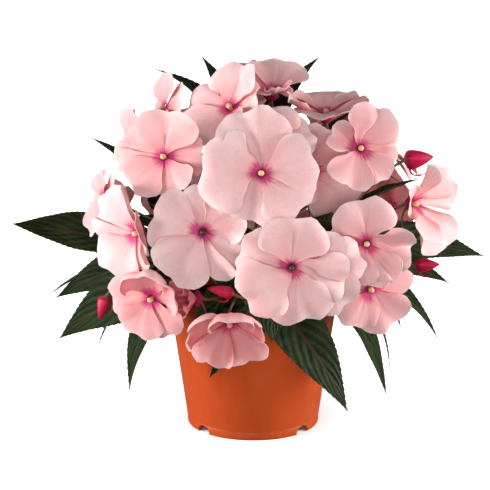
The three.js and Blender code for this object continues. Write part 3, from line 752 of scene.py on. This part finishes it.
def bud_material():
    p = Paint("bud", 0.4, Subsurface_Weight=0.1, Subsurface_Scale=0.001, Specular_IOR_Level=0.25)
    u, v = p.attribute("place")[:2]
    lengthways = p.vector(p.math("MULTIPLY", v, 26.0), p.math("MULTIPLY", u, 1.5), 0.0)
    lines = p.noise(1.0, 3.0, lengthways)
    base = p.mix(p.band(lines, 0.3, 0.7), (0.30, 0.003, 0.022, 1), (0.62, 0.010, 0.075, 1))
    p.colour(p.mix(p.math("MULTIPLY", p.band(u, 0.75, 1.0), 0.7), base, (0.16, 0.01, 0.02, 1)))
    p.bump(lines, 0.5, 0.0008)
    return p.material


def pot_material():
    p = Paint("pot_plastic", 0.42, Specular_IOR_Level=0.12)
    coord = p.node("TexCoord").outputs["Object"]
    stretch = p.node("Mapping", Vector=coord)
    stretch.inputs["Scale"].default_value = (60.0, 60.0, 14.0)
    sweep = p.noise(1.0, 4.0, stretch.outputs[0])
    fine = p.noise(1500.0, 2.0)
    base = p.mix(p.band(sweep, 0.3, 0.7), (0.45, 0.058, 0.011, 1), (0.49, 0.068, 0.014, 1))
    dust = p.math("MULTIPLY", p.band(p.noise(35.0, 6.0), 0.55, 0.8), 0.12)
    p.colour(p.mix(dust, base, (0.45, 0.20, 0.11, 1)))
    p.rough(p.math("MULTIPLY_ADD", sweep, 0.2, 0.3))
    p.bump(p.math("ADD", fine, sweep), 0.12, 0.0004)
    return p.material


def soil_material():
    p = Paint("potting_mix", 0.95, Specular_IOR_Level=0.2)
    crumb = p.noise(260.0, 6.0, roughness=0.7)
    base = p.mix(p.band(crumb, 0.3, 0.7), (0.012, 0.007, 0.004, 1), (0.075, 0.045, 0.028, 1))
    p.colour(base)
    p.bump(p.noise(700.0, 6.0, roughness=0.7), 1.0, 0.002)
    return p.material


def plain_material(name, colour, roughness):
    p = Paint(name, roughness)
    p.colour((*colour, 1))
    return p.material


PETAL = petal_material()
CREAM = column_material("column", (0.85, 0.62, 0.36, 1), (0.72, 0.42, 0.20, 1))
SPENT = column_material("spent_column", (0.10, 0.03, 0.02, 1), (0.03, 0.01, 0.01, 1))
LEAF = leaf_material()
STEM = stem_material()
BUD = bud_material()
POT = pot_material()
SOIL = soil_material()


def numbered(name, i):
    return f"{name}_{i + 1:02d}"


def build_blooms():
    for i, (_, x, y, z, turn, rise, roll, length, cup, colour_and_shade_depth) in enumerate(BLOOMS):
        shape = Shape()
        add_bloom(shape, i, frame_at(x, y, z, turn, rise), roll, length, cup, colour_and_shade_depth)
        materials = [PETAL, CREAM, SPENT, STEM]
        make_piece(numbered("flower", i), shape, materials, [numbered("bloom", i)])


def build_buds():
    for i, (_, x, y, z, turn, rise, length, thickness) in enumerate(BUDS):
        shape = Shape()
        at = frame_at(x, y, z, turn, rise)
        half, swell = length / 2, thickness / 2
        s = np.linspace(-1, 1, 18)
        blunt = np.sqrt(np.clip(1 - np.clip(-s, 0, 1) ** 5, 0, 1))
        radius = 1.08 * swell * (1 - ((s + 1) / 2) ** 1.8) ** 0.85 * blunt
        sides = [(r, half * h) for r, h in zip(radius[1:-1], s[1:-1])]
        profile = [(0, -half)] + sides + [(0, half)]
        add_turned(shape, profile, 20, 0, at, lobes=3, ripple=0.05, twist=0.16)
        rims = [(0.42, -0.99), (0.62, -0.86), (0.66, -0.7), (0.5, -0.72), (0, -0.8)]
        cap = [(0, -half - 0.3)] + [(swell * r, half * h) for r, h in rims]
        add_turned(shape, cap, 12, 1, at, lobes=4, ripple=0.12)
        steps = np.linspace(0, 1, 10)
        hook = [(0, -0.5, -0.6), (0, -1.6, -0.9), (0, -2, -0.2), (0, -1.5, 0.35)]
        spur = np.array(hook) * (1, swell, half)
        add_tube(shape, at(bezier(spur, steps)), 0.8 - 0.5 * steps, 8, 0)
        make_piece(numbered("flower_bud", i), shape, [BUD, STEM], [numbered("bud", i)])


def shoot_line(name):
    turn, root, lean, top = SHOOTS[name]
    out = heading(turn, 0)
    shoulder = (lean * 0.72 + root * 0.28, top - 26)
    places = [(root, SOIL_TOP + 4), (root, SOIL_TOP + 18), shoulder, (lean, top)]
    return np.array([out * r + UP * z for r, z in places])


# Half the width of a leaf at a share u of its length
def leaf_half_width(u, width):
    stalk = PETIOLE_WIDTH / 2
    t = np.clip((u - PETIOLE_SHARE) / (1 - PETIOLE_SHARE), 0, 1)
    blade = width / 2 * t**0.75 * (1 - t) ** 1.2 / 0.274
    petiole = stalk * (1 - 0.35 * u / PETIOLE_SHARE)
    return np.where(u <= PETIOLE_SHARE, petiole, np.maximum(blade, stalk * 0.65 * (1 - t) + 0.12))


# A pointed, folded, finely toothed leaf from its base to its tip
def add_leaf(shape, base, tip, width, lift, roll, seed, teeth, columns, red):
    along = unit(tip - base)
    across = unit(np.cross(along, UP))
    out = unit(np.cross(across, along))
    across, out = turned_about(across, along, roll), turned_about(out, along, roll)
    length = np.linalg.norm(tip - base)
    stations, jags = [0.0, 0.5 * PETIOLE_SHARE, PETIOLE_SHARE], [0.0, 0.0, 0.0]
    step = (1 - PETIOLE_SHARE) / teeth
    for i in range(teeth):
        for part, jag in ((0.12, 0.0), (0.55, 0.45), (0.88, 1.0)):
            stations.append(PETIOLE_SHARE + (i + part) * step)
            jags.append(jag)
    stations.append(1.0)
    jags.append(0.0)
    u, v = np.meshgrid(stations, np.linspace(-1, 1, columns), indexing="ij")
    jag = np.array(jags)[:, None] * np.clip((u - 0.2) * 8, 0, 1)
    w = leaf_half_width(u, width)
    reach = w * v * (1 + 0.035 * jag * np.abs(v) ** 8)
    forward = 0.3 * step * length * jag * np.abs(v) ** 8
    wave = LEAF_WAVE * w * np.sin(9 * u + 2 * v + seed) * np.abs(v)
    ripple = 0.025 * w * np.sin(26 * u + 3 * vary(seed, 3) + 1.5 * np.sign(v)) * np.abs(v) ** 2
    run = 9 * u - 2.8 * np.abs(v) ** 1.15
    swell = 0.7 * np.sin(math.pi * np.clip((u - 0.16) * 1.2, 0, 1))
    puff = np.abs(v) * (1 - np.abs(v)) * 4 * w / (width / 2)
    quilt = swell * np.cos(2 * math.pi * run) * puff
    rise = LEAF_FOLD * w * np.abs(v) * (1.25 - 0.35 * np.abs(v)) + wave + ripple + quilt
    bow = 0.018 * np.sin(math.pi * u) * vary(seed, 5)
    sway = length * (bow + 0.012 * np.sin(2 * math.pi * u) * vary(seed, 6))
    arch = lift * 4 * u * (1 - u)
    grid = (
        base
        + along * (length * u + forward)[..., None]
        + across * (reach + sway)[..., None]
        + out * (rise + arch)[..., None]
    )
    midrib = 0.5 * np.exp(-((u - PETIOLE_SHARE) / 0.12)) * (1 - np.abs(v))
    half = np.where(u <= PETIOLE_SHARE, 0.9, 0.26 + midrib)
    place = np.stack([u, v, np.ones_like(u)], axis=-1)
    add_blade(shape, grid, half, 0, place, (vary(seed, 7), red, 0))


# A flower's or bud's stalk from the stem to its seat
def add_stalk(shape, start, seat, face, radius):
    reach = np.linalg.norm(seat - start)
    first = start * 0.7 + seat * 0.3 - UP * 0.08 * reach
    under = seat - face * 0.3 * reach - UP * 0.12 * reach
    steps = np.linspace(0, 1, 16)
    base_swell = 0.25 * np.exp(-((steps / 0.08) ** 2))
    seat_swell = 0.3 * np.exp(-(((1 - steps) / 0.05) ** 2))
    radii = radius * (1 + base_swell + seat_swell)
    add_tube(shape, bezier(np.array([start, first, under, seat]), steps), radii, 8, 1)


def build_shoots():
    for name, (turn, root, *_) in SHOOTS.items():
        shape = Shape()
        line = shoot_line(name)
        foot = heading(turn, 0) * root + UP * (SOIL_TOP - 8)
        steps = np.linspace(0, 1, 26)
        stem = np.concatenate([[foot], bezier(line, steps)])
        knots = 1 + 0.12 * np.exp(-(((np.concatenate([[0], steps]) * 5) % 1 - 0.5) ** 2) / 0.01)
        add_tube(shape, stem, 2.9 * knots, 14, 1)
        for i, (owner, at, x, y, z, width, lift, roll) in enumerate(OUTER_LEAVES):
            if owner == name:
                red = 0.8 if i in RED_LEAVES else 0.3
                tip = np.array([x, y, z], float)
                start = bezier(line, at)
                add_leaf(shape, start, tip, width, lift, roll, i, LEAF_TEETH, LEAF_COLUMNS, red)
        inner = MIDDLE_LEAVES if name == "shoot_centre" else INNER_LEAVES
        for i, (at, swing, radius, height, width, lift) in enumerate(inner):
            tip = heading(turn + swing, 0) * radius + UP * height
            start = bezier(line, at)
            add_leaf(shape, start, tip, width, lift, 0, i, INNER_TEETH, INNER_COLUMNS, 0.4)
        for i, (owner, x, y, z, swing, rise, *_) in enumerate(BLOOMS):
            if owner == name:
                face = heading(swing, rise)
                seat = np.array([x, y, z]) - face * (HUB_DEPTH - 0.6)
                add_stalk(shape, bezier(line, 0.8 + 0.05 * (i % 4)), seat, face, 1.0)
        for owner, x, y, z, swing, rise, length, _ in BUDS:
            if owner == name:
                face = heading(swing, rise)
                seat = np.array([x, y, z]) - face * (length / 2 - 0.3)
                add_stalk(shape, bezier(line, 0.85), seat, face, 0.9)
        make_piece(name.replace("shoot", "leafy_shoot"), shape, [LEAF, STEM], [name])


# Outside radius of the pot's wall at height z
def wall_radius(z):
    return POT_FOOT_RADIUS - FOOT_STEP + (POT_TOP_RADIUS - POT_FOOT_RADIUS) * z / POT_HEIGHT


# A mesh for cutting, its faces turned outward
def cutter(name, shape):
    mesh = bpy.data.meshes.new(name)
    mesh.from_pydata((np.concatenate(shape.points) * 0.001).tolist(), [], shape.faces)
    outward = bmesh.new()
    outward.from_mesh(mesh)
    bmesh.ops.recalc_face_normals(outward, faces=outward.faces)
    outward.to_mesh(mesh)
    outward.free()
    made = bpy.data.objects.new(name, mesh)
    bpy.context.collection.objects.link(made)
    return made


def build_pot():
    rim_foot = POT_HEIGHT - RIM_HEIGHT
    floor_top = FLOOR_LIFT + POT_WALL
    foot_inner = POT_FOOT_RADIUS - 2.4
    rim = wall_radius(POT_HEIGHT) + RIM_STEP
    profile = [
        (0, FLOOR_LIFT), (foot_inner - 1, FLOOR_LIFT), (foot_inner - 0.4, FLOOR_LIFT - 0.4),
        (foot_inner, 0.3), (foot_inner + 0.3, 0), (POT_FOOT_RADIUS - 0.5, 0),
        (POT_FOOT_RADIUS - 0.15, 0.3), (POT_FOOT_RADIUS, 1), (POT_FOOT_RADIUS, FOOT_HEIGHT - 0.8),
        (POT_FOOT_RADIUS - 0.2, FOOT_HEIGHT - 0.3), (wall_radius(FOOT_HEIGHT) + 0.05, FOOT_HEIGHT),
    ]
    profile += [(wall_radius(z), z) for z in np.linspace(FOOT_HEIGHT + 1, rim_foot - 0.6, 16)]
    under_rim = wall_radius(rim_foot)
    profile += [
        (under_rim + 0.2, rim_foot), (under_rim + RIM_STEP - 0.2, rim_foot + 0.25),
        (under_rim + RIM_STEP, rim_foot + 0.7), (rim, POT_HEIGHT - 0.5), (rim - 0.2, POT_HEIGHT - 0.1),
        (rim - 0.5, POT_HEIGHT), (rim - POT_WALL + 0.4, POT_HEIGHT), (rim - POT_WALL, POT_HEIGHT - 0.5),
        (under_rim - POT_WALL, rim_foot - 2), (wall_radius(floor_top) - POT_WALL, floor_top),
        (0, floor_top),
    ]
    shape = Shape()
    add_turned(shape, profile, 160, 0, lambda p: p)
    pot = make_piece("plastic_pot", shape, [POT], ["pot"])
    tools = Shape()
    for degrees in (NOTCH_TURN, 180 - NOTCH_TURN, 180 + NOTCH_TURN, -NOTCH_TURN):
        turn = math.radians(90 + degrees)
        out = np.array([math.cos(turn), math.sin(turn), 0])
        side = np.array([-math.sin(turn), math.cos(turn), 0])
        bends = np.linspace(0, math.pi, 17)
        arch = [(NOTCH_WIDTH / 2 * math.cos(a), NOTCH_HEIGHT * math.sin(a) ** 0.7) for a in bends]
        arch = [(NOTCH_WIDTH / 2, -3)] + arch + [(-NOTCH_WIDTH / 2, -3)]
        ends = (POT_FOOT_RADIUS - 6, POT_FOOT_RADIUS + 6)
        points = [out * r + side * s + UP * z for r in ends for s, z in arch]
        n = len(arch)
        faces = [tuple(range(n)), tuple(range(2 * n - 1, n - 1, -1))]
        faces += [((k + 1) % n, k, n + k, n + (k + 1) % n) for k in range(n)]
        tools.add(points, faces, 0, (0, 0, 0), (0, 0, 0))
        low, high = FLOOR_LIFT - 4, FLOOR_LIFT + 5
        hole = [(0, low), (DRAIN_RADIUS, low), (DRAIN_RADIUS, high), (0, high)]
        centre = out * DRAIN_RING
        add_turned(tools, hole, 20, 0, lambda p: p + centre)
    tool = cutter("notches", tools)
    cut = pot.modifiers.new("notches", "BOOLEAN")
    cut.operation = "DIFFERENCE"
    cut.solver = "EXACT"
    cut.object = tool
    bpy.context.view_layer.update()
    whole = bpy.data.meshes.new_from_object(pot.evaluated_get(bpy.context.evaluated_depsgraph_get()))
    pot.modifiers.clear()
    pot.data = whole
    whole.set_sharp_from_angle(angle=math.radians(50))
    bpy.data.objects.remove(tool)


def build_soil():
    rings, sides = 34, 110
    edge = wall_radius(SOIL_TOP) - POT_WALL - 0.4
    shape = Shape()
    points, faces = [], []
    for i in range(1, rings + 1):
        for k in range(sides):
            a = k / sides * 2 * math.pi
            r = edge * i / rings
            x, y = r * math.cos(a), r * math.sin(a)
            lump = 1.4 * math.sin(0.31 * x) * math.cos(0.27 * y + 1)
            crumbs = math.sin(1.9 * x + 2 * math.sin(0.9 * y)) * math.sin(2.1 * y + 2 * math.sin(1.1 * x))
            grit = math.sin(4.3 * x + 5.1 * y) * math.sin(4.9 * y - 3.7 * x)
            fall = 3 * (i / rings) ** 12
            points.append((x, y, SOIL_TOP + 1.5 + lump + 0.7 * crumbs + 0.5 * grit - fall))
    low = wall_radius(FLOOR_LIFT + POT_WALL) - POT_WALL - 0.4
    for k in range(sides):
        a = k / sides * 2 * math.pi
        points.append((low * math.cos(a), low * math.sin(a), FLOOR_LIFT + POT_WALL + 0.3))
    top, bottom = len(points), len(points) + 1
    points += [(0, 0, SOIL_TOP + 1.5), (0, 0, FLOOR_LIFT + POT_WALL + 0.3)]
    for i in range(rings):
        for k in range(sides):
            a, b = i * sides + k, i * sides + (k + 1) % sides
            faces.append((a, a + sides, b + sides, b))
    for k in range(sides):
        n = (k + 1) % sides
        faces.append((top, k, n))
        faces.append((rings * sides + n, rings * sides + k, bottom))
    shape.add(points, faces, 0, (0, 0, 0), (0, 0, 0))
    make_piece("potting_mix", shape, [SOIL], ["soil"])


def build_stage():
    mesh = bpy.data.meshes.new("floor")
    mesh.from_pydata([(-6, -6, 0), (6, -6, 0), (6, 6, 0), (-6, 6, 0)], [], [(0, 1, 2, 3)])
    floor = bpy.data.objects.new("floor", mesh)
    bpy.context.collection.objects.link(floor)
    mesh.materials.append(plain_material("floor", (0.9, 0.9, 0.9), 0.7))
    floor.visible_diffuse = False
    floor.visible_glossy = False
    wash = bpy.data.objects.new("floor_wash", bpy.data.lights.new("floor_wash", "SUN"))
    wash.data.energy = 7
    wash.data.angle = math.radians(110)
    bpy.context.collection.objects.link(wash)
    lit = bpy.data.collections.new("floor_only")
    lit.objects.link(floor)
    wash.light_linking.receiver_collection = lit
    world = bpy.data.worlds.new("studio")
    world.use_nodes = True
    world.node_tree.nodes["Background"].inputs[0].default_value = (1, 1, 1, 1)
    world.node_tree.nodes["Background"].inputs[1].default_value = 0.16
    bpy.context.scene.world = world


def add_light(name, place, target, size, power):
    data = bpy.data.lights.new(name, "AREA")
    data.shape = "RECTANGLE"
    data.size, data.size_y = size
    data.energy = power
    light = bpy.data.objects.new(name, data)
    light.location = place
    light.rotation_euler = (Vector(target) - Vector(place)).to_track_quat("-Z", "Y").to_euler()
    bpy.context.collection.objects.link(light)


build_pot()
build_soil()
build_shoots()
build_blooms()
build_buds()
build_stage()
add_light("left_box", (-1.15, -0.25, 0.24), (0, 0, 0.12), (0.45, 0.42), 19)
add_light("right_box", (1.15, -0.2, 0.24), (0, 0, 0.12), (0.45, 0.42), 17)
add_light("front_box", (-0.2, -1.9, 0.32), (0, 0, 0.12), (1.2, 0.55), 15)
add_light("top_box", (-0.1, -0.5, 1.3), (0, 0, 0.15), (0.9, 0.7), 2)
